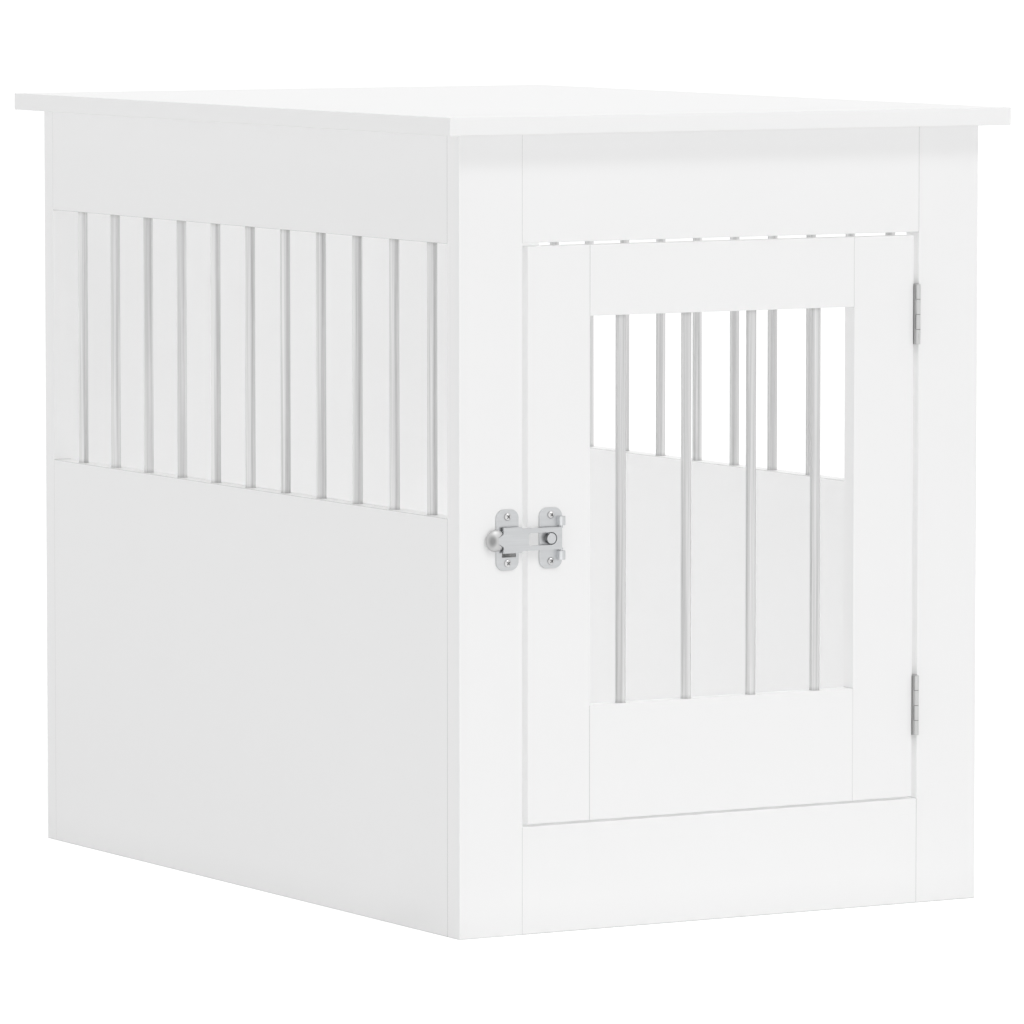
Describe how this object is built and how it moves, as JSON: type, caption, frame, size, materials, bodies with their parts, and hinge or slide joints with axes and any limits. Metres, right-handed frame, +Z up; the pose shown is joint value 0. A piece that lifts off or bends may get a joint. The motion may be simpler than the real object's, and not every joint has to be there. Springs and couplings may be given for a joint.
{
  "type": "dog crate end table",
  "caption": "White cabinet dog crate that doubles as an end table, with round steel bars in both sides and in its hinged, latched front door.",
  "frame": {"origin": "on the floor, under the middle of the top board", "axes": "+Z up, the door faces -Y, +X to the right as seen from in front of the door"},
  "size_m": [0.55, 0.8, 0.68],
  "materials": {
    "white_board": "smooth satin white surface on wood board",
    "bar_steel": "round drawn steel, brushed lengthwise",
    "hinge_steel": "satin grey metal",
    "latch_steel": "satin silver metal, polished on the knob",
    "screw_steel": "bright plated metal"
  },
  "bodies": {
    "cabinet": {"top_panel": "white_board", "front_left_leg": "white_board", "front_right_leg": "white_board", "front_top_rail": "white_board", "front_bottom_rail": "white_board", "left_top_rail": "white_board", "left_lower_panel": "white_board", "right_top_rail": "white_board", "right_lower_panel": "white_board", "back_panel": "white_board", "floor_panel": "white_board", "left_bar_01": "bar_steel", "left_bar_02": "bar_steel", "left_bar_03": "bar_steel", "left_bar_04": "bar_steel", "left_bar_05": "bar_steel", "left_bar_06": "bar_steel", "left_bar_07": "bar_steel", "left_bar_08": "bar_steel", "left_bar_09": "bar_steel", "left_bar_10": "bar_steel", "left_bar_11": "bar_steel", "right_bar_01": "bar_steel", "right_bar_02": "bar_steel", "right_bar_03": "bar_steel", "right_bar_04": "bar_steel", "right_bar_05": "bar_steel", "right_bar_06": "bar_steel", "right_bar_07": "bar_steel", "right_bar_08": "bar_steel", "right_bar_09": "bar_steel", "right_bar_10": "bar_steel", "right_bar_11": "bar_steel", "upper_hinge_leg_leaf": "hinge_steel", "lower_hinge_leg_leaf": "hinge_steel", "upper_hinge_pin": "hinge_steel", "lower_hinge_pin": "hinge_steel", "latch_keeper": "latch_steel", "keeper_upper_screw": "screw_steel", "keeper_lower_screw": "screw_steel"},
    "door": {"door_left_stile": "white_board", "door_right_stile": "white_board", "door_top_rail": "white_board", "door_bottom_rail": "white_board", "door_bar_01": "bar_steel", "door_bar_02": "bar_steel", "door_bar_03": "bar_steel", "door_bar_04": "bar_steel", "upper_hinge_door_leaf": "hinge_steel", "lower_hinge_door_leaf": "hinge_steel", "latch_plate": "latch_steel", "latch_post": "latch_steel", "latch_plate_upper_screw": "screw_steel", "latch_plate_lower_screw": "screw_steel"},
    "latch_arm": {"latch_strap": "latch_steel", "latch_knob": "latch_steel"}
  },
  "joints": [
    {"name": "door_hinge", "type": "hinge", "parent": "cabinet", "child": "door", "pos_m": [0.1925, -0.3828, 0.3325], "axis": [0, 0, 1], "range_deg": [0, 180]},
    {"name": "strap_swing", "type": "hinge", "parent": "door", "child": "latch_arm", "pos_m": [-0.16, -0.3846, 0.33], "axis": [0, 0, 1], "range_deg": [0, 170]}
  ]
}
